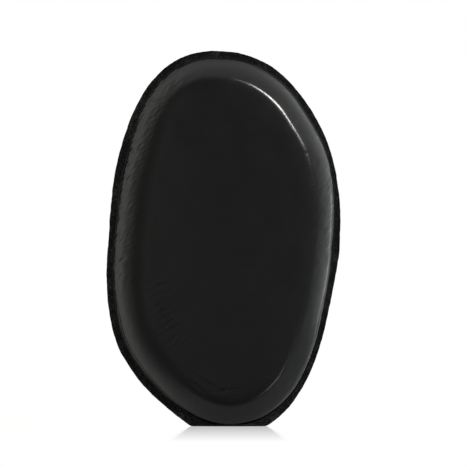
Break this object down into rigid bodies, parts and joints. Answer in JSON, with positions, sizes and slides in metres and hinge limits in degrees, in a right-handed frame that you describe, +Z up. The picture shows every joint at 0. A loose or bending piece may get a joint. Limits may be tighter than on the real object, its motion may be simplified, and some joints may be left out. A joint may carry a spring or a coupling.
{
  "type": "stone-shaped gel massage pad",
  "caption": "Flat pebble-shaped massage pad: two black films welded along a narrow flat rim round a soft gel core, with a small turned-out foot to stand on.",
  "frame": {"origin": "on the underside of the foot, below the middle of the pad's width and thickness", "axes": "+Z up along the pad's length, front dome facing -Y, X across the pad's width"},
  "size_m": [0.0386, 0.0082, 0.0619],
  "materials": {
    "film": "satin black thermoplastic film, faintly wrinkled",
    "gel": "soft clear gel, slightly milky"
  },
  "bodies": {
    "root": {"front_skin": "film", "back_skin": "film", "gel_core": "gel"}
  },
  "joints": []
}
